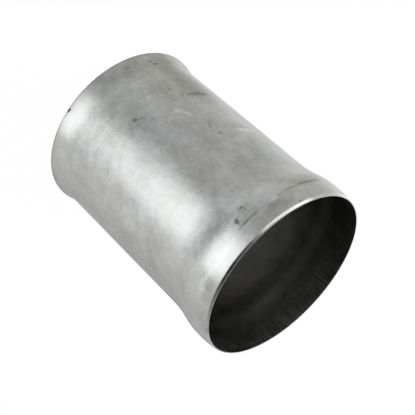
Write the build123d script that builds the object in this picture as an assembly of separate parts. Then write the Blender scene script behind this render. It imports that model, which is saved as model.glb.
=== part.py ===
from build123d import *
from math import acos, asin, degrees, radians, sin
import os

# A reducer insert: one length of steel tube, formed at both ends.
# It stands on its flared end with the bell up. The tube's axis is Z and the
# centre of the flared rim is the origin. All sizes are in millimetres.

# The tube that the insert is made from
tube_od = 101.6
wall = 1.65
length = 143.0

# The bell, measured from the tube's outside and down from its own rim
bell_step = 2.75
land_length = 4.0
lead_in_length = 8.0
lip_wall = 0.95
lead_in_blend = 25.0

# The shoulder below the bell, as the bend radii of its outside
crown_bend = 40.0
neck_bend = 70.0

# The flare at the foot, measured from the tube's outside
flare_step = 2.05
flare_length = 14.2

# The tall bevel outside the lip, and what deburring takes off the other corners
bevel_height = 1.45
bevel_depth = 0.5
outer_break = 0.3
inner_break = 0.15

# Radii and heights that follow from the sizes above
tube_radius = tube_od / 2
bell_radius = tube_radius + bell_step
socket_radius = bell_radius - wall
lip_radius = socket_radius + lip_wall
flare_bend = (flare_length**2 + flare_step**2) / (2 * flare_step)
land_top = length - lead_in_length
land_foot = land_top - land_length
shoulder_turn = degrees(acos(1 - bell_step / (crown_bend + neck_bend)))
shoulder_length = (crown_bend + neck_bend) * sin(radians(shoulder_turn))
neck_foot = land_foot - shoulder_length


def skin(offset):
    """Edges of one skin of the wall, from the flared rim up to the top of the shoulder.

    The offset is 0 for the outside and the wall for the inside. Both skins bend about
    the same centres, so the wall keeps its thickness through the flare and the shoulder.
    """
    radius = tube_radius - offset
    flare_radius = flare_bend + offset
    flare_turn = degrees(asin(flare_length / flare_radius))
    flare = JernArc((radius, flare_length), (0, -1), flare_radius, flare_turn)
    waist = Line((radius, flare_length), (radius, neck_foot))
    neck = JernArc(waist @ 1, (0, 1), neck_bend + offset, -shoulder_turn)
    crown = JernArc(neck @ 1, neck % 1, crown_bend - offset, shoulder_turn)
    return [flare, waist, neck, crown]


def corner(face, point):
    """The vertex of the section that lies at a point."""
    return min(face.vertices(), key=lambda vertex: (Vector(vertex) - Vector(point)).length)


def wall_section():
    """Half of the tube's lengthwise section, with its lip bevelled and its rims deburred."""
    outside = skin(0)
    inside = skin(wall)
    bevel_foot = (lip_radius, length - bevel_height)
    bevel_top = (lip_radius - bevel_depth, length)
    lip_inner = (socket_radius, length)
    foot_outer = outside[0] @ 1
    foot_inner = inside[0] @ 1
    land = Line(outside[-1] @ 1, (bell_radius, land_top))
    lead_in = Line(land @ 1, bevel_foot)
    bevel = Line(bevel_foot, bevel_top)
    rim = Line(bevel_top, lip_inner)
    socket = Line(lip_inner, inside[-1] @ 1)
    foot = Line(foot_outer, foot_inner)
    face = make_face(outside + [land, lead_in, bevel, rim, socket] + inside + [foot])
    face = fillet(corner(face, (bell_radius, land_top)), lead_in_blend)
    for point, size in [
        (foot_outer, outer_break),
        (lip_inner, inner_break),
        (foot_inner, inner_break),
    ]:
        face = chamfer(corner(face, point), size)
    return face


def reducer_insert():
    """The section turned about the tube's axis into one closed solid."""
    return revolve(Plane.XZ * wall_section(), Axis.Z)


os.makedirs("parts", exist_ok=True)
insert = reducer_insert()
export_step(insert, "parts/reducer_insert.step")

print(f"bell {2 * bell_radius:.2f} outside, {2 * socket_radius:.2f} inside, {length - land_foot:.2f} deep")
print(f"lip {2 * lip_radius:.2f} outside, bevelled to {2 * (lip_radius - bevel_depth):.2f}")
print(f"flare bend radius {flare_bend:.2f}")
print(f"shoulder turns {shoulder_turn:.2f} degrees in {shoulder_length:.2f}, foot at {neck_foot:.2f}")
print(f"volume {insert.volume:.1f} cubic mm, size {insert.bounding_box().size}")
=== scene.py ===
# %% [markdown]
# # A tube reducer insert in dull mill-finish steel
#
# The object is one short piece of thin steel tube. One end is opened into a bell, the
# other into a small trumpet flare, and nothing is painted, plated or polished. The shape
# is a turned section, so a lathe-like sweep makes it. Nearly all of its look comes from
# how tired metal answers soft light: a broad highlight, cloudy grey, and the marks that
# handling left. The lesson builds the camera first, then the wall, the finish, the light.

import math

import bpy
from mathutils import Matrix, Vector


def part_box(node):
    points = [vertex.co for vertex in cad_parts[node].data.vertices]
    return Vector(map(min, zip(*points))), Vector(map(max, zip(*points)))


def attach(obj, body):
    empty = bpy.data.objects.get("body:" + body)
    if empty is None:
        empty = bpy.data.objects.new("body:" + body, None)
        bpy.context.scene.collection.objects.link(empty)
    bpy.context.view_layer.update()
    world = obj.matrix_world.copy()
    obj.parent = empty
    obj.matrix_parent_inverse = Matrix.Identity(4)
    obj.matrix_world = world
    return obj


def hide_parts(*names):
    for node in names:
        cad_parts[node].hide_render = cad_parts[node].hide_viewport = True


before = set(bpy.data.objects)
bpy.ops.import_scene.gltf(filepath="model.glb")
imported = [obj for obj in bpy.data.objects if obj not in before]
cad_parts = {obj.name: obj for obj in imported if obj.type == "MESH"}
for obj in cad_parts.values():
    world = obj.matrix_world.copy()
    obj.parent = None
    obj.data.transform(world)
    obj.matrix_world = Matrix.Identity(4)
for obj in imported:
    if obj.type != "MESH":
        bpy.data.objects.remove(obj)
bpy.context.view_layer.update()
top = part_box("reducer_insert")[1]

# %% [markdown]
# ## Camera
#
# The tube stands on its flared rim, and the photograph looks down into the bell from
# about 31 degrees above. It was turned on its side in the frame, so the camera is rolled
# about its own line of sight. A camera can be placed by hand, but here its distance,
# height and roll are numbers from a fit: the tube's outline and the ellipse of its mouth
# fix all three, as long as the waist is straight.

# %% Place the camera
MM = 0.001
CAMERA_AIM = Vector((0.87, 0.0, 79.09)) * MM
CAMERA_DISTANCE = 553.86 * MM
CAMERA_HEIGHT_ANGLE = 31.035
CAMERA_SIDE_ANGLE = 0.105
CAMERA_ROLL = 132.67
CAMERA_LENS = 85.86
SENSOR_WIDTH = 36.0

line_of_sight = Vector((
    math.cos(math.radians(CAMERA_HEIGHT_ANGLE)) * math.sin(math.radians(CAMERA_SIDE_ANGLE)),
    math.cos(math.radians(CAMERA_HEIGHT_ANGLE)) * math.cos(math.radians(CAMERA_SIDE_ANGLE)),
    -math.sin(math.radians(CAMERA_HEIGHT_ANGLE)),
))
lens = bpy.data.cameras.new("product_lens")
lens.lens = CAMERA_LENS
lens.sensor_width = SENSOR_WIDTH
lens.sensor_fit = "HORIZONTAL"
lens.clip_start = 10 * MM
camera = bpy.data.objects.new("product_camera", lens)
bpy.context.scene.collection.objects.link(camera)
level = line_of_sight.to_track_quat("-Z", "Y").to_matrix().to_4x4()
rolled = level @ Matrix.Rotation(math.radians(CAMERA_ROLL), 4, "Z")
camera.matrix_world = Matrix.Translation(CAMERA_AIM - CAMERA_DISTANCE * line_of_sight) @ rolled
bpy.context.scene.camera = camera
print("camera at", [round(v / MM, 1) for v in camera.matrix_world.translation], "mm")

# %% [markdown]
# ## The wall's section
#
# Cut the tube lengthwise and one thin closed outline is left. On a drawing it is a chain
# of straight runs with a bend radius at each corner, which is how a tube former thinks of
# it too. The outline could be traced point by point, but corners and radii are shorter
# and stay exact when a size changes. Heights count up from the floor.

# %% Draw the section as corners with bend radii
# All in millimetres. The last value is the least straight run between two bends.
TUBE_RADIUS = 50.8
WALL = 1.65
LENGTH = top.z / MM
BELL_STEP = 2.75
LAND_LENGTH = 4.0
LEAD_IN_LENGTH = 8.0
LIP_WALL = 0.95
LEAD_IN_BLEND = 25.0
CROWN_BEND = 40.0
NECK_BEND = 70.0
FLARE_STEP = 2.05
FLARE_LENGTH = 14.2
INNER_ROUND = 0.08
FOOT_ROUND = 0.22
BEVEL_HEIGHT = 1.45
BEVEL_DEPTH = 0.5
BEVEL_TOP_ROUND = 0.08
BEVEL_FOOT_ROUND = 1.2
SPARE_RUN = 0.03

bell_radius = TUBE_RADIUS + BELL_STEP
land_foot = LENGTH - LEAD_IN_LENGTH - LAND_LENGTH
shoulder_turn = math.acos(1 - BELL_STEP / (CROWN_BEND + NECK_BEND))
neck_foot = land_foot - (CROWN_BEND + NECK_BEND) * math.sin(shoulder_turn)
flare_bend = (FLARE_LENGTH ** 2 + FLARE_STEP ** 2) / (2 * FLARE_STEP)


def skin_corners(offset):
    """Corners (radius, height, bend) of one skin of the wall, from the foot to the shoulder's top.

    The flare's bend would reach the foot's corner, so it is shortened by the run that the
    corner's own round takes, and by a hair, or the outline would fold back on itself.
    """
    radius = TUBE_RADIUS - offset
    bend = flare_bend + offset
    flare_turn = math.asin(FLARE_LENGTH / bend)
    flare_run = bend * math.tan(flare_turn / 2)
    foot_round = INNER_ROUND if offset else FOOT_ROUND
    foot_turn = math.pi / 2 + (-flare_turn if offset else flare_turn)
    foot_run = foot_round * math.tan(foot_turn / 2) + SPARE_RUN
    neck = NECK_BEND + offset
    crown = CROWN_BEND - offset
    return [
        (radius + bend * (1 - math.cos(flare_turn)), 0.0, foot_round),
        (radius, FLARE_LENGTH - flare_run, bend * (1 - foot_run / flare_run)),
        (radius, neck_foot + neck * math.tan(shoulder_turn / 2), neck),
        (bell_radius - offset, land_foot - crown * math.tan(shoulder_turn / 2), crown),
    ]


section = skin_corners(0)
section.append((bell_radius, LENGTH - LEAD_IN_LENGTH, LEAD_IN_BLEND))
lip_radius = bell_radius - WALL + LIP_WALL
section.append((lip_radius, LENGTH - BEVEL_HEIGHT, BEVEL_FOOT_ROUND))
section.append((lip_radius - BEVEL_DEPTH, LENGTH, BEVEL_TOP_ROUND))
section.append((bell_radius - WALL, LENGTH, INNER_ROUND))
section.extend(reversed(skin_corners(WALL)))
print(len(section), "corners; the neck starts", round(neck_foot, 2), "mm up")

# %% [markdown]
# ## Sweeping the section round the axis
#
# A Spin or a Screw modifier could turn the outline into the tube. Geometry Nodes do it
# here, because the whole rule then sits in one tree: round each corner with its own bend,
# cut the straight runs fine enough for smooth reflections, carry the outline round a
# circle, and press in the faint waviness that thin rolled tube has. The waviness only
# goes inwards, so the part keeps its size. Where two bends meet, the corner rounding
# leaves two points in one place, so points that lie within a hair are merged.

# %% A helper that adds one node
def add(tree, kind, *values, out=0, sockets=None, **settings):
    """Adds a node, fills its inputs in order and by name, and returns one of its outputs."""
    made = tree.nodes.new(kind)
    for key, value in settings.items():
        setattr(made, key, value)
    filled = list(enumerate(values)) + list((sockets or {}).items())
    for key, value in filled:
        if isinstance(value, bpy.types.NodeSocket):
            tree.links.new(value, made.inputs[key])
        elif value is not None:
            made.inputs[key].default_value = value
    return made.outputs[out] if len(made.outputs) else made


# %% Make the outline object
# The sweep below carries a section's Y downwards, so heights are drawn downwards here.
outline = bpy.data.meshes.new("section_outline")
outline.from_pydata(
    [(radius * MM, -height * MM, 0.0) for radius, height, bend in section],
    [(k, (k + 1) % len(section)) for k in range(len(section))],
    [],
)
bends = outline.attributes.new("bend", "FLOAT", "POINT")
bends.data.foreach_set("value", [bend * MM for radius, height, bend in section])
tube = bpy.data.objects.new("formed_tube", outline)
bpy.context.scene.collection.objects.link(tube)

# %% Build the sweeping tree
HAIR = 0.001 * MM
sweep = bpy.data.node_groups.new("turned_wall", "GeometryNodeTree")
for name, kind, value in [
    ("Section", "NodeSocketGeometry", None),
    ("Segments Around", "NodeSocketInt", 288),
    ("Points per Bend", "NodeSocketInt", 14),
    ("Points per Edge Round", "NodeSocketInt", 5),
    ("Smallest Bend", "NodeSocketFloat", 5 * MM),
    ("Longest Run", "NodeSocketFloat", 1.6 * MM),
    ("Waviness", "NodeSocketFloat", 0.05 * MM),
    ("Wave Length", "NodeSocketFloat", 30 * MM),
    ("Smooth Below", "NodeSocketFloat", math.radians(30)),
    ("Finish", "NodeSocketMaterial", None),
]:
    made = sweep.interface.new_socket(name, in_out="INPUT", socket_type=kind)
    if value is not None:
        made.default_value = value
sweep.interface.new_socket("Tube", in_out="OUTPUT", socket_type="NodeSocketGeometry")
given = sweep.nodes.new("NodeGroupInput").outputs

bend = add(sweep, "GeometryNodeInputNamedAttribute", "bend", data_type="FLOAT")
is_bend = add(sweep, "FunctionNodeCompare", bend, given["Smallest Bend"], operation="GREATER_THAN")
points = add(
    sweep, "GeometryNodeSwitch", is_bend, given["Points per Edge Round"],
    given["Points per Bend"], input_type="INT",
)
loop = add(sweep, "GeometryNodeMeshToCurve", given["Section"])
rounded = add(
    sweep, "GeometryNodeFilletCurve", mode="POLY",
    sockets={"Curve": loop, "Count": points, "Radius": bend},
)

place = add(sweep, "GeometryNodeInputPosition")
following = add(sweep, "GeometryNodeOffsetPointInCurve", None, 1, out=1)
next_place = add(sweep, "GeometryNodeFieldAtIndex", data_type="FLOAT_VECTOR", sockets={
    "Index": following, "Value": place,
})
run = add(sweep, "ShaderNodeVectorMath", place, next_place, operation="DISTANCE", out=1)
cuts = add(sweep, "ShaderNodeMath", run, given["Longest Run"], operation="DIVIDE")
finer = add(sweep, "GeometryNodeSubdivideCurve", rounded, cuts)
print("sweep tree has", len(sweep.nodes), "nodes so far")


# %% Sweep, press in the waviness and smooth
path = add(
    sweep, "GeometryNodeCurvePrimitiveCircle", given["Segments Around"], sockets={"Radius": HAIR},
)
turned_over = add(sweep, "GeometryNodeReverseCurve", path)
wall = add(sweep, "GeometryNodeCurveToMesh", turned_over, finer)
wall = add(sweep, "GeometryNodeMergeByDistance", wall, sockets={"Distance": 2 * HAIR})

outwards = add(sweep, "ShaderNodeVectorMath", place, (1, 1, 0), operation="MULTIPLY")
outwards = add(sweep, "ShaderNodeVectorMath", outwards, operation="NORMALIZE")
wave_scale = add(sweep, "ShaderNodeMath", 1.0, given["Wave Length"], operation="DIVIDE")
wave = add(sweep, "ShaderNodeTexNoise", sockets={"Vector": place, "Scale": wave_scale, "Detail": 1.0})
press = add(sweep, "ShaderNodeMath", wave, given["Waviness"], operation="MULTIPLY")
press = add(sweep, "ShaderNodeMath", press, -1.0, operation="MULTIPLY")
shift = add(sweep, "ShaderNodeVectorMath", outwards, operation="SCALE", sockets={"Scale": press})
wavy = add(sweep, "GeometryNodeSetPosition", sockets={"Geometry": wall, "Offset": shift})

angle = add(sweep, "GeometryNodeInputMeshEdgeAngle")
gentle = add(sweep, "FunctionNodeCompare", angle, given["Smooth Below"], operation="LESS_THAN")
soft_faces = add(sweep, "GeometryNodeSetShadeSmooth", wavy, True, True)
soft_edges = add(sweep, "GeometryNodeSetShadeSmooth", soft_faces, True, gentle, domain="EDGE")
realized = add(sweep, "GeometryNodeRealizeInstances", soft_edges)
finished = add(
    sweep, "GeometryNodeSetMaterial", sockets={"Geometry": realized, "Material": given["Finish"]},
)
result = sweep.nodes.new("NodeGroupOutput")
sweep.links.new(finished, result.inputs["Tube"])
print("sweep tree has", len(sweep.nodes), "nodes")


# %% [markdown]
# ## Mill-finish steel
#
# Mill finish is what a rolling mill leaves: bare metal, dull and slightly cloudy, with no
# polish. This tube is clouded further, as if by handling. A flat grey metal would look
# like plastic film, and a painted texture would stretch round the bends, so the clouds
# are 3-D noise read in millimetres: they run through the wall and have no seam.

# %% Colours as they are written
def srgb(code):
    """A colour written as sRGB hex, as the linear values that a shader takes."""
    parts = [int(code[k:k + 2], 16) / 255 for k in (1, 3, 5)]
    return tuple(c / 12.92 if c <= 0.04045 else ((c + 0.055) / 1.055) ** 2.4 for c in parts) + (1.0,)


# %% Where a point lies on the tube
def tube_place(tree):
    """The place in millimetres and how far the surface faces out from the axis, -1 to 1."""
    coords = add(tree, "ShaderNodeTexCoord").node.outputs
    place = add(
        tree, "ShaderNodeVectorMath", coords["Object"], operation="SCALE", sockets={"Scale": 1 / MM},
    )
    outwards = add(tree, "ShaderNodeVectorMath", place, (1, 1, 0), operation="MULTIPLY")
    outwards = add(tree, "ShaderNodeVectorMath", outwards, operation="NORMALIZE")
    facing = add(tree, "ShaderNodeVectorMath", coords["Normal"], outwards, operation="DOT_PRODUCT", out=1)
    return place, facing


# %% Random patches
# Each finer layer of the noise keeps most of the contrast of the coarser one, as on real
# sheet. Nearly all of the noise lies between its low and its high.
PERSISTENCE = 0.88
NOISE_LOW = 0.25
NOISE_HIGH = 0.75


def patches(tree, place, size, spread, detail=0.0, stretch=(1, 1, 1)):
    """Soft random patches about size mm across, as an amount from -spread to spread."""
    drawn = add(tree, "ShaderNodeVectorMath", place, stretch, operation="MULTIPLY")
    cloud = add(tree, "ShaderNodeTexNoise", sockets={
        "Vector": drawn, "Scale": 1 / size, "Detail": detail, "Roughness": PERSISTENCE,
    })
    return add(tree, "ShaderNodeMapRange", cloud, NOISE_LOW, NOISE_HIGH, -spread, spread)


def total(tree, *amounts):
    """The sum of several amounts."""
    result = amounts[0]
    for amount in amounts[1:]:
        result = add(tree, "ShaderNodeMath", result, amount, operation="ADD")
    return result


# %% [markdown]
# ## Marks from handling, and painted highlights
#
# Each speck, smear and rubbed spot on the real tube has its own place, so a random pattern
# can't give them. They could be small pieces of geometry, but they have no height. Here
# each is one row of a short table: a soft ellipse that lies on the wall at an angle and a
# height, turned, which darkens the metal or brightens it. Specks of dirt have ragged
# edges, rubbed spots and broad zones smoother ones. The broken line about 10 mm behind
# the bell's rim looks like the edge of a forming die, and it is a few rows too.
# Two of the smooth spots are no marks but painted highlights on the bell.

# %% Marks
# Angle round the axis (degrees, -90 faces the camera), height, half width round the tube,
# half height (mm), turn (degrees), strength (below 0 is brighter than the metal round it).
# 69 rows in all render well and 76 came out black, so the faintest specks are left out.
RAGGED_MARKS = [
    (-96.4, 127.2, 0.9, 0.8, 0, 0.28),
    (-101.4, 124.8, 1.4, 1.3, 15, 0.40),
    (-100.2, 123.8, 0.9, 0.6, 0, 0.20),
    (-102.0, 127.2, 0.8, 1.2, 20, 0.26),
    (-104.3, 125.2, 1.0, 1.3, 0, 0.18),
    (-99.4, 126.8, 0.8, 1.2, 0, 0.20),
    (-100.2, 126.2, 2.8, 2.6, 0, 0.09),
    (-104.9, 112.5, 1.3, 0.9, 0, 0.18),
    (-108.8, 112.7, 1.5, 0.9, 0, 0.14),
    (-129.8, 77.0, 1.6, 1.2, 0, 0.46),
    (-128.8, 70.2, 1.1, 1.1, 0, 0.34),
    (-130.2, 67.4, 1.1, 0.9, 30, 0.32),
    (-130.4, 32.8, 1.2, 1.0, 0, 0.38),
    (-107.0, 45.8, 1.1, 1.0, 0, 0.24),
    (-89.4, 44.4, 1.0, 0.8, 0, 0.14),
    (-98.3, 39.0, 3.5, 1.5, -18, 0.30),
    (-97.0, 41.0, 8.0, 4.5, 0, 0.09),
    (-147.0, 41.8, 9.0, 2.2, 0, 0.24),
    (-138.6, 41.3, 2.0, 1.8, 0, 0.22),
    (-133.8, 41.0, 1.9, 1.6, 0, 0.24),
    (-138.0, 6.5, 1.7, 1.1, 0, 0.34),
    (-140.0, 9.2, 1.8, 1.1, 0, 0.38),
    (-120.0, 6.0, 2.6, 1.4, 15, 0.28),
    (-75.5, 1.0, 1.5, 0.8, 0, 0.70),
    (-127.8, 140.8, 1.3, 0.8, 0, 0.42),
    (-121.3, 131.9, 1.1, 0.8, 0, 0.26),
    (-23.2, 63.5, 1.2, 0.9, 0, 0.26),
    (-43.0, 22.0, 1.0, 1.4, 0, 0.16),
]
# Spots with smoother edges, most of them rubbed lighter and two of them painted highlights, in the same
# columns.
SMOOTH_SPOTS = [
    (-94.3, 129.5, 1.3, 2.7, -12, 0.50),
    (-93.2, 128.7, 1.4, 1.6, 0, 0.46),
    (-94.5, 127.6, 1.3, 1.1, 0, 0.42),
    (-53.2, 135.5, 2.0, 4.2, 0, -0.16),
    (-149.0, 79.0, 7.0, 1.5, -10, -0.32),
    (-121.6, 50.4, 2.4, 2.8, 20, -0.28),
    (-124.6, 54.6, 1.6, 3.6, 25, -0.22),
    (-115.0, 31.5, 2.2, 1.5, 0, -0.18),
    (-125.5, 24.5, 0.9, 4.0, 15, -0.12),
    (-115.5, 21.0, 2.8, 1.0, 25, -0.12),
    (-113.2, 18.6, 3.4, 0.9, 14, -0.15),
    (-119.0, 18.1, 3.2, 0.9, -5, -0.15),
    (-124.5, 19.2, 2.8, 0.9, -16, -0.12),
    (-117.0, 132.2, 4.2, 1.4, 0, -0.26),
    # A painted highlight: the lamp's reflection on the bell's crown, drawn as a lighter spot.
    (-99.0, 121.0, 6.0, 3.2, 0, -0.16),
    (-118.0, 127.0, 12.0, 6.5, 0, -0.16),
    (-55.0, 133.0, 9.0, 2.4, 0, -0.14),
    # A painted highlight: the lamp's stripe on the bell's lead-in, drawn lighter.
    (-78.0, 137.6, 15.0, 5.5, 0, -0.18),
    (-76.0, 17.0, 9.0, 9.0, 0, -0.10),
]
# The broken line of the forming die: middle angle, half width (mm) and strength.
WITNESS_ARCS = [
    (-138.0, 10.0, 0.28),
    (-149.0, 8.0, 0.20),
    (-126.5, 7.0, 0.18),
    (-102.0, 8.5, 0.28),
    (-95.0, 5.0, 0.34),
    (-62.0, 6.0, -0.10),
    (-8.0, 12.0, 0.25),
    (40.0, 15.0, 0.34),
    (85.0, 9.0, 0.28),
    (128.0, 14.0, 0.38),
    (168.0, 11.0, 0.30),
]
WITNESS_HEIGHT = 132.9
WITNESS_TILT = 0.04
WITNESS_HALF_HEIGHT = 1.05
# Broad zones, soiled or a little cleaner, in the same columns as the marks.
BROAD_ZONES = [
    (-118.0, 6.5, 24.0, 6.0, 0, 0.10),
    (-148.0, 26.0, 14.0, 32.0, 0, 0.26),
    (-146.0, 129.0, 14.0, 6.0, 0, 0.16),
    (-114.0, 137.6, 13.0, 5.4, 0, 0.26),
    (-100.0, 66.0, 5.0, 60.0, 0, 0.07),
    (-92.5, 36.0, 7.5, 22.0, 0, 0.12),
    (-19.0, 136.0, 13.0, 8.0, 0, -0.20),
    (-12.0, 34.0, 9.0, 24.0, 0, -0.20),
    (-9.0, 113.0, 9.0, 10.0, 0, 0.24),
    (60.0, 10.0, 30.0, 8.0, 0, 0.13),
    (110.0, 95.0, 22.0, 26.0, 30, 0.10),
]

witness = [
    (
        angle, WITNESS_HEIGHT + WITNESS_TILT * bell_radius * math.cos(math.radians(angle)),
        half_width, WITNESS_HALF_HEIGHT,
        math.degrees(-WITNESS_TILT * math.sin(math.radians(angle))), strength,
    )
    for angle, half_width, strength in WITNESS_ARCS
]
print(len(RAGGED_MARKS), "ragged marks,", len(SMOOTH_SPOTS), "smooth spots,", end=" ")
print(len(witness), "stretches of die line,", len(BROAD_ZONES), "broad zones")


# %% One mark, and the sum of many
# A mark reaches through the wall by its depth (mm). Its strength grows from nothing at
# the outer edge to all of it at the inner one, as shares of the ellipse.
MARK_DEPTH = 9.0
OUTER_EDGE = 1.15
INNER_EDGE = 0.35


def mark(tree, place, ragged, angle, height, half_width, half_height, turn):
    """1 in the middle of a soft ellipse on the wall, 0 outside it, with its edge made ragged."""
    a = math.radians(angle)
    centre = (TUBE_RADIUS * math.cos(a), TUBE_RADIUS * math.sin(a), height)
    own = add(
        tree, "ShaderNodeMapping", place, centre, (math.radians(turn), 0, a),
        (MARK_DEPTH, half_width, half_height), vector_type="TEXTURE",
    )
    away = add(tree, "ShaderNodeVectorMath", own, operation="LENGTH", out=1)
    away = add(tree, "ShaderNodeMath", away, ragged, operation="ADD")
    return add(
        tree, "ShaderNodeMapRange", away, OUTER_EDGE, INNER_EDGE, interpolation_type="SMOOTHSTEP",
    )


def sum_of_marks(tree, place, ragged, rows):
    """All the rows' marks, each by its strength."""
    darkness = 0.0
    for *shape, strength in rows:
        one = mark(tree, place, ragged, *shape)
        darkness = add(tree, "ShaderNodeMath", one, strength, darkness, operation="MULTIPLY_ADD")
    return darkness


# %% [markdown]
# ## Tone, film and dullness
#
# The metal's own colour is a light neutral grey, and four things change it. Clouds shade
# it, with a contrast that falls slowly with size. One side and both ends look slightly
# olive, which is drawn as a thin film of old oil. The bore looks dark and streaky, which
# is drawn as scale with draw lines, as a darker steel that is partly painted shade, and as
# painted shade below the shoulder. A paler ring near the socket's end is a painted sheen.
# The bevel outside the lip is brighter, as cut metal is. What these things really are
# can't be told from one picture. One long tree could do it all, but short functions that
# each give one amount are easier to read and to change.

# %% How far from a height
def off_height(tree, height, middle):
    """How far a point is above or below a height, in millimetres."""
    away = add(tree, "ShaderNodeMath", height, middle, operation="SUBTRACT")
    return add(tree, "ShaderNodeMath", away, operation="ABSOLUTE")


# %% Dirt on the outside
# Edges are ragged in steps of this size (mm), by these shares of a mark's own size.
RAGGED_SIZE = 1.6
RAGGED_SPREAD = 0.5
FRAYED_SHARE = 0.3


def marks_and_dirt(tree, place, inside):
    """The smooth marks, and all the marks on the outside."""
    ragged = patches(tree, place, RAGGED_SIZE, RAGGED_SPREAD, detail=1.5)
    frayed = add(tree, "ShaderNodeMath", ragged, FRAYED_SHARE, operation="MULTIPLY")
    smooth = sum_of_marks(tree, place, frayed, SMOOTH_SPOTS + witness + BROAD_ZONES)
    # The sum holds dirty specks, rubbed spots and two painted highlights.
    dirt_and_highlights = total(tree, sum_of_marks(tree, place, ragged, RAGGED_MARKS), smooth)
    outside = add(tree, "ShaderNodeMath", 1.0, inside, operation="SUBTRACT")
    return smooth, add(tree, "ShaderNodeMath", dirt_and_highlights, outside, operation="MULTIPLY")


# %% Dark scale, painted sheen and painted shade in the bore
# Real draw lines lie a few hundredths of a millimetre apart. They are drawn over a
# millimetre wide here, in clusters, because finer ones would not show. Sizes and heights
# are in millimetres: the pale ring, a painted sheen at the shoulder's bend, is full near
# the seat's height and ends further off. Below the shoulder the bore is darkened as
# painted shade.
DRAW_LINE_SIZE = 1.3
DRAW_LINE_STRETCH = (1, 1, 0.04)
SCALE_LINE_SPREAD = 0.3
CLUSTER_SIZE = 12.0
CLUSTER_SPREAD = 0.6
CLUSTER_MEAN = 0.5
SCALE_DARKNESS = 0.32
SOCKET_FADE = 4.0
SEAT_HEIGHT = 120.8
SEAT_FROM = 4.5
SEAT_FULL = 1.0
SEAT_SHEEN = 0.25
DEEP_FROM = 112.0
DEEP_FULL = 92.0
DEEP_SHADE = 0.14


def socket_scale(tree, place, height, inside):
    """The scale that darkens the socket, streaked along the axis."""
    lines = patches(
        tree, place, DRAW_LINE_SIZE, SCALE_LINE_SPREAD, detail=2.0, stretch=DRAW_LINE_STRETCH,
    )
    clusters = patches(tree, place, CLUSTER_SIZE, CLUSTER_SPREAD)
    clusters = add(tree, "ShaderNodeMath", clusters, CLUSTER_MEAN, operation="ADD")
    lines = add(tree, "ShaderNodeMath", lines, clusters, operation="MULTIPLY")
    lines = add(tree, "ShaderNodeMath", lines, SCALE_DARKNESS, operation="SUBTRACT")
    mid_shoulder = (neck_foot + land_foot) / 2
    socket = add(tree, "ShaderNodeMapRange", height, mid_shoulder, land_foot - SOCKET_FADE)
    socket = add(tree, "ShaderNodeMath", socket, inside, operation="MULTIPLY")
    return add(tree, "ShaderNodeMath", lines, socket, operation="MULTIPLY")


def bore_sheen_and_shade(tree, height, inside):
    """A pale ring of painted sheen where the socket ends, and painted shade in the bore below the
    shoulder.
    """
    off_seat = off_height(tree, height, SEAT_HEIGHT)
    # A pale ring of painted sheen at the shoulder's bend, and painted shade lower in the bore.
    painted_sheen = add(tree, "ShaderNodeMapRange", off_seat, SEAT_FROM, SEAT_FULL, 0.0, SEAT_SHEEN)
    painted_deep_shade = add(tree, "ShaderNodeMapRange", height, DEEP_FROM, DEEP_FULL, 0.0, -DEEP_SHADE)
    return add(tree, "ShaderNodeMath", total(tree, painted_sheen, painted_deep_shade), inside, operation="MULTIPLY")


# %% Tone of the metal
# The foot's edge is darkened, partly for a fine burred edge and partly as painted shade, and the
# darkening fades out above it (mm).
CLOUD_SIZE = 16.0
CLOUD_SPREAD = 0.32
FINEST_CLOUDS = 5.0
DRAW_LINE_SPREAD = 0.025
BURR_AND_SHADE_FROM = 1.5
BURR_AND_SHADE_FULL = 0.5
BURR_AND_SHADE_DARKNESS = 0.25
DARKEST = 0.06


def metal_tone(tree, place, height, inside, clouds, dirt_and_highlights):
    """What the colour is multiplied by: clouds, draw lines, scale and the bore's painted sheen and shade,
    less the marks with their painted highlights, and the foot edge, darker partly as painted shade.
    """
    draw_lines = patches(
        tree, place, DRAW_LINE_SIZE, DRAW_LINE_SPREAD, detail=1.0, stretch=DRAW_LINE_STRETCH,
    )
    scale = socket_scale(tree, place, height, inside)
    tone = total(tree, clouds, draw_lines, scale, bore_sheen_and_shade(tree, height, inside), 1.0)
    # The darker foot edge: partly a burred edge, partly painted shade.
    burr_and_shade = add(tree, "ShaderNodeMapRange", height, BURR_AND_SHADE_FROM, BURR_AND_SHADE_FULL, 0.0, BURR_AND_SHADE_DARKNESS)
    tone = add(tree, "ShaderNodeMath", tone, total(tree, dirt_and_highlights, burr_and_shade), operation="SUBTRACT")
    return add(tree, "ShaderNodeMath", tone, DARKEST, operation="MAXIMUM")


# %% Oil film
# The film is thickest at one angle round the axis (degrees). On that side it starts and is
# full at these shares of the radius. It gets thicker towards the ends, at these distances
# from the middle (mm).
FILM_SIZE = 22.0
FILM_SPREAD = 0.4
FILM_MEAN = 0.08
FILM_ON_MARKS = 1.5
OILY_ANGLE = -138.0
OILY_FROM = 0.5
OILY_FULL = 0.95
OILY_AMOUNT = 0.27
ENDS_FROM = 55.0
ENDS_FULL = 65.0
ENDS_GAIN = 1.6


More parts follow.
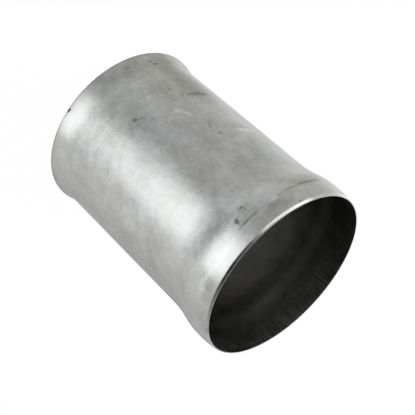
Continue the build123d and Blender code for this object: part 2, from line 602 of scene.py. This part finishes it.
def oil_film(tree, place, height, smooth):
    """How much of the metal's grey the film turns olive, 0 to 1."""
    oily_side = (math.cos(math.radians(OILY_ANGLE)), math.sin(math.radians(OILY_ANGLE)), 0)
    side = add(tree, "ShaderNodeVectorMath", place, oily_side, operation="DOT_PRODUCT", out=1)
    lain = add(
        tree, "ShaderNodeMapRange", side, TUBE_RADIUS * OILY_FROM, TUBE_RADIUS * OILY_FULL,
        0.0, OILY_AMOUNT,
    )
    ends = off_height(tree, height, LENGTH / 2)
    ends = add(tree, "ShaderNodeMapRange", ends, ENDS_FROM, ENDS_FULL, 1.0, ENDS_GAIN)
    lain = add(tree, "ShaderNodeMath", lain, ends, operation="MULTIPLY")
    film = total(tree, patches(tree, place, FILM_SIZE, FILM_SPREAD, detail=1.0), lain, FILM_MEAN)
    return add(
        tree, "ShaderNodeMath", smooth, FILM_ON_MARKS, film, operation="MULTIPLY_ADD", use_clamp=True,
    )


# %% Dullness
# Cold-rolled steel has a roughness near the first value. Dirt, scale and clouds dull it,
# and cutting leaves it brighter.
METAL_DULLNESS = 0.34
SOIL_DULLNESS = 0.25
BORE_DULLNESS = 0.10
CUT_DULLNESS = -0.13
CLOUD_DULLNESS = 0.3


def metal_dullness(tree, inside, cut, clouds, dirt_and_highlights):
    """The roughness. A rubbed spot or a painted highlight is brighter but no smoother, so only marks that
    darken count.
    """
    soil = add(tree, "ShaderNodeMath", dirt_and_highlights, 0.0, operation="MAXIMUM")
    dullness = METAL_DULLNESS
    for amount, share in (
        (soil, SOIL_DULLNESS), (inside, BORE_DULLNESS), (cut, CUT_DULLNESS), (clouds, CLOUD_DULLNESS),
    ):
        dullness = add(tree, "ShaderNodeMath", amount, share, dullness, operation="MULTIPLY_ADD")
    return dullness


# %% [markdown]
# ## Putting the finish together
#
# A metal in Blender is a Principled shader with Metallic at 1, whose Base Color is what it
# reflects straight on. The index of refraction keeps its default, because it matters
# little for a metal. Film, bore and bevel each blend in a colour of their own, the tone
# scales the result, and a faint bump gives the skin that rolling leaves.

# %% Mill-finish steel
STEEL = srgb("#b0b2b1")
OIL_FILM = srgb("#aeada4")
# The bore's colour is a darker copy of the steel: partly scale, partly painted shade inside the tube.
INNER_SCALE_AND_SHADE = srgb("#959491")
CUT_EDGE = srgb("#c3c4c2")
SKIN_SIZE = 14.0
SKIN_SPREAD = 0.04
# The bore is where the wall faces the axis, and the cut metal starts at the bevel's foot.
# Each zone grows from nothing to full between two of these values.
BORE_FROM = -0.25
BORE_FULL = -0.6
CUT_FROM = LENGTH - BEVEL_HEIGHT - 0.3
CUT_FULL = LENGTH - BEVEL_HEIGHT + 0.1


def mill_finish_steel():
    """Bare rolled steel: a metal with a broad cloudy reflection, oil film and marks."""
    material = bpy.data.materials.new("mill_finish_steel")
    material.use_nodes = True
    tree = material.node_tree
    tree.nodes.clear()
    place, facing = tube_place(tree)
    height = add(tree, "ShaderNodeSeparateXYZ", place, out=2)
    inside = add(tree, "ShaderNodeMapRange", facing, BORE_FROM, BORE_FULL)
    cut = add(tree, "ShaderNodeMapRange", height, CUT_FROM, CUT_FULL)
    smooth, dirt_and_highlights = marks_and_dirt(tree, place, inside)
    clouds = patches(tree, place, CLOUD_SIZE, CLOUD_SPREAD, detail=FINEST_CLOUDS)
    tone = metal_tone(tree, place, height, inside, clouds, dirt_and_highlights)

    colour = STEEL
    for share, blended in (
        (oil_film(tree, place, height, smooth), OIL_FILM), (inside, INNER_SCALE_AND_SHADE), (cut, CUT_EDGE),
    ):
        colour = add(
            tree, "ShaderNodeMix", data_type="RGBA", out=2, sockets={0: share, 6: colour, 7: blended},
        )
    colour = add(tree, "ShaderNodeVectorMath", colour, operation="SCALE", sockets={"Scale": tone})

    skin = patches(tree, place, SKIN_SIZE, SKIN_SPREAD, detail=FINEST_CLOUDS)
    uncut = add(tree, "ShaderNodeMath", 1.0, cut, operation="SUBTRACT")
    bump = add(tree, "ShaderNodeBump", sockets={"Height": skin, "Distance": MM, "Strength": uncut})
    metal = add(tree, "ShaderNodeBsdfPrincipled", sockets={
        "Base Color": colour, "Metallic": 1.0, "Normal": bump,
        "Roughness": metal_dullness(tree, inside, cut, clouds, dirt_and_highlights),
    })
    add(tree, "ShaderNodeOutputMaterial", metal)
    print("the finish has", len(tree.nodes), "nodes")
    return material


# %% [markdown]
# ## From a tree to a plain mesh
#
# A modifier's inputs have identifiers that differ from their names, so they are looked up
# once and set before the object is evaluated. The evaluated copy becomes the mesh, and
# the modifier goes, which leaves a plain closed wall that exports as it looks.

# %% Turn the tree into the part
modifier = tube.modifiers.new("turned_wall", "NODES")
modifier.node_group = sweep
for item in sweep.interface.items_tree:
    if item.name == "Finish":
        modifier[item.identifier] = mill_finish_steel()
evaluated = tube.evaluated_get(bpy.context.evaluated_depsgraph_get())
wall_mesh = bpy.data.meshes.new_from_object(evaluated)
wall_mesh.name = "formed_tube"
tube.modifiers.clear()
tube.data = wall_mesh
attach(tube, "root")
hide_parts("reducer_insert")
print("the wall has", len(wall_mesh.polygons), "faces")

# %% [markdown]
# ## Floor
#
# The floor is plain and pale. A photograph on white keeps only a trace of a shadow, so
# the camera sees the floor mostly as paper white and a little as lit paint. The metal
# shows light from all round, past its foot as well, and a floor would hide that light
# from it, so mirror rays and shadow rays go through the floor.

# %% Floor
FLOOR_SIZE = 6.0
FLOOR_PAINT = srgb("#f4f4f3")
PAPER_SHARE = 0.92
PAPER_STRENGTH = 1.07


def pale_floor():
    """Pale matt paint that lets mirror and shadow rays through."""
    material = bpy.data.materials.new("pale_floor_paint")
    material.use_nodes = True
    tree = material.node_tree
    tree.nodes.clear()
    ray = add(tree, "ShaderNodeLightPath").node.outputs
    paint = add(tree, "ShaderNodeBsdfDiffuse", FLOOR_PAINT)
    paper = add(tree, "ShaderNodeEmission", sockets={"Strength": PAPER_STRENGTH})
    share = add(tree, "ShaderNodeMath", ray["Is Camera Ray"], PAPER_SHARE, operation="MULTIPLY")
    seen = add(tree, "ShaderNodeMixShader", share, paint, paper)
    through = add(tree, "ShaderNodeMath", ray["Is Glossy Ray"], ray["Is Shadow Ray"], operation="MAXIMUM")
    clear = add(tree, "ShaderNodeBsdfTransparent")
    mixed = add(tree, "ShaderNodeMixShader", through, seen, clear)
    add(tree, "ShaderNodeOutputMaterial", mixed)
    return material


half = FLOOR_SIZE / 2
floor_mesh = bpy.data.meshes.new("floor")
floor_mesh.from_pydata(
    [(-half, -half, 0), (half, -half, 0), (half, half, 0), (-half, half, 0)], [], [(0, 1, 2, 3)],
)
floor_mesh.materials.append(pale_floor())
floor = bpy.data.objects.new("floor", floor_mesh)
bpy.context.scene.collection.objects.link(floor)
print("floor", FLOOR_SIZE, "m wide")

# %% [markdown]
# ## Light
#
# Curved metal shows nothing but the room round it, so the room matters more than the
# lamps. The real room isn't known: this one was adjusted until the metal looked right.
# A light tent could be built from cards, but a world that knows each direction is
# shorter: a ring of walls whose brightness changes with the direction, and a few soft
# spots that are darker or brighter. Two soft lamps add the highlights: one in front and
# below, which draws the broad white stripe down the tube, and a long low one at the left
# of the camera, which lights the lip's bevel. Angles are in degrees, from +X towards +Y,
# and up from level.

# %% Room
# Direction of each stretch of wall, its brightness, and how warm it is (below 0 is cooler).
WALLS = [
    (-180, 0.78, 0.0), (-140, 0.66, 0.0), (-112, 0.58, -0.01), (-96, 0.66, -0.02), (-75, 0.44, -0.02),
    (-45, 0.64, -0.02), (-20, 1.06, 0.01), (12, 0.98, 0.01), (34, 0.68, 0.01), (62, 0.50, 0.0),
    (76, 0.45, -0.01), (90, 0.51, -0.01), (104, 0.76, -0.01), (125, 1.16, 0.0), (155, 0.92, 0.0),
    (180, 0.78, 0.0),
]
# The ramp holds the walls as shares of this brightness, so that its colours stay below 1.
WALL_FULL = 1.6
WHITE = (1.0, 1.0, 1.0, 1.0)
# Name, direction, height angle, where the spot is full and where it ends (degrees from its
# middle), and what it adds to the brightness there, as a share.
SPOTS = [
    ("dark ceiling", 0, 90, 52, 78, -0.92),
    ("pale top of the back wall", 90, 31, 5, 14, 1.8),
    ("dark studio at the left", -150, 46, 20, 40, -0.45),
    ("dark studio in front", -62, 38, 32, 52, -0.88),
    ("dark studio at the right", -15, 36, 32, 52, -0.75),
    ("bright sheet behind", 95, 34, 20, 50, 0.70),
    ("pale wall, left", 112, -8, 8, 26, 0.25),
    ("pale table, low left", -125, -62, 10, 34, 0.55),
    ("dark shelf, right", 22, -3, 9, 23, -0.28),
    ("pale shelf, right", 54, -28, 7, 28, 0.17),
    ("dark under the foot", 0, -90, 18, 33, -0.90),
]


def towards(azimuth, elevation):
    """The unit direction at an azimuth and an elevation in degrees."""
    a, e = math.radians(azimuth), math.radians(elevation)
    return Vector((math.cos(a) * math.cos(e), math.sin(a) * math.cos(e), math.sin(e)))


def studio_world():
    """White where the camera looks past the part, and a soft uneven room in the metal."""
    world = bpy.data.worlds.new("studio_room")
    world.use_nodes = True
    tree = world.node_tree
    tree.nodes.clear()
    direction = add(tree, "ShaderNodeTexCoord")
    parts = add(tree, "ShaderNodeSeparateXYZ", direction).node.outputs
    azimuth = add(tree, "ShaderNodeMath", parts["Y"], parts["X"], operation="ARCTAN2")
    share = add(tree, "ShaderNodeMapRange", azimuth, -math.pi, math.pi)
    walls = add(tree, "ShaderNodeValToRGB", share)
    ramp = walls.node.color_ramp
    ramp.interpolation = "EASE"
    for angle, strength, warmth in WALLS[1:-1]:
        ramp.elements.new((angle + 180) / 360)
    for stop, (angle, strength, warmth) in zip(ramp.elements, WALLS):
        level = strength / WALL_FULL
        stop.color = (level * (1 + warmth), level, level * (1 - warmth), 1)
    brightness = WALL_FULL
    for name, angle, rise, inner, outer, gain in SPOTS:
        middle = tuple(towards(angle, rise))
        near = add(tree, "ShaderNodeVectorMath", direction, middle, operation="DOT_PRODUCT", out=1)
        edges = math.cos(math.radians(outer)), math.cos(math.radians(inner))
        factor = add(
            tree, "ShaderNodeMapRange", near, *edges, 1.0, 1.0 + gain, interpolation_type="SMOOTHSTEP",
        )
        brightness = add(tree, "ShaderNodeMath", brightness, factor, operation="MULTIPLY")
    room = add(tree, "ShaderNodeVectorMath", walls, operation="SCALE", sockets={"Scale": brightness})
    is_camera = add(tree, "ShaderNodeLightPath")
    seen = add(tree, "ShaderNodeMix", data_type="RGBA", out=2, sockets={0: is_camera, 6: room, 7: WHITE})
    background = add(tree, "ShaderNodeBackground", seen)
    add(tree, "ShaderNodeOutputWorld", background)
    return world


bpy.context.scene.world = studio_world()
print(len(WALLS), "wall stops,", len(SPOTS), "soft spots")


# %% Soft lamps
def softbox(name, azimuth, elevation, distance, width, height, radiance):
    """A flat white lamp that faces the tube's middle, as bright to the eye as its radiance."""
    lamp = bpy.data.lights.new(name, "AREA")
    lamp.shape = "RECTANGLE"
    lamp.size = width * MM
    lamp.size_y = height * MM
    lamp.energy = radiance * math.pi * lamp.size * lamp.size_y
    made = bpy.data.objects.new(name, lamp)
    bpy.context.scene.collection.objects.link(made)
    away = towards(azimuth, elevation)
    turn = (-away).to_track_quat("-Z", "Y").to_matrix().to_4x4()
    made.matrix_world = Matrix.Translation(Vector((0, 0, LENGTH / 2 * MM)) + away * distance * MM) @ turn
    made.visible_camera = False
    print(name, round(lamp.energy, 2), "W")


softbox(
    "key_softbox", azimuth=-61.8, elevation=-22.8, distance=1500, width=1280, height=800, radiance=2.16,
)
softbox(
    "lip_softbox", azimuth=218, elevation=9, distance=900, width=1160, height=250, radiance=1.21,
)

# %% [markdown]
# ## Colour
#
# The Standard view transform shows a colour about as it is written.

# %% Colour, and the end
bpy.context.scene.view_settings.view_transform = "Standard"
